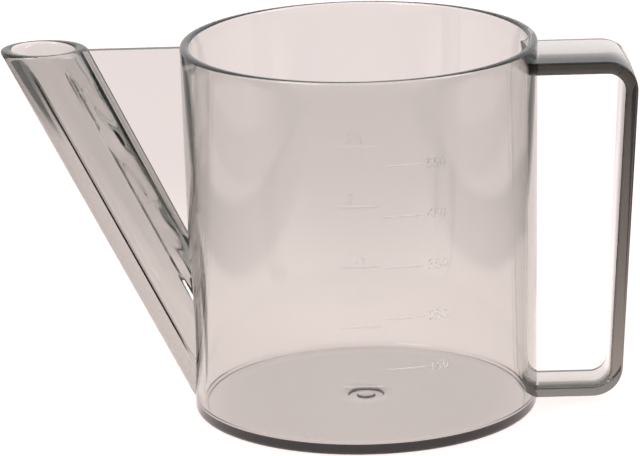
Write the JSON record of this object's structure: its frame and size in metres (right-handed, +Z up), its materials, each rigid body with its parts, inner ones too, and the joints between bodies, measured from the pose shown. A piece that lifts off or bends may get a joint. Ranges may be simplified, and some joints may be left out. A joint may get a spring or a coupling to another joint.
{
  "type": "fat separator jug",
  "caption": "Clear smoke-grey jug for parting fat from gravy: round cup, straight spout rising from its foot with a web, and a flat strap handle.",
  "frame": {"origin": "centre of the flat underside of the cup, on the cup's axis", "axes": "+Z up along the cup's axis, spout towards -X, handle towards +X"},
  "size_m": [0.177, 0.1001, 0.106],
  "materials": {
    "smoke_clear_plastic": "gloss"
  },
  "bodies": {
    "root": {"cup_wall": "smoke_clear_plastic", "cup_floor": "smoke_clear_plastic", "spout_tube": "smoke_clear_plastic", "spout_web": "smoke_clear_plastic", "handle_strap": "smoke_clear_plastic", "measuring_scale": "smoke_clear_plastic"}
  },
  "joints": []
}
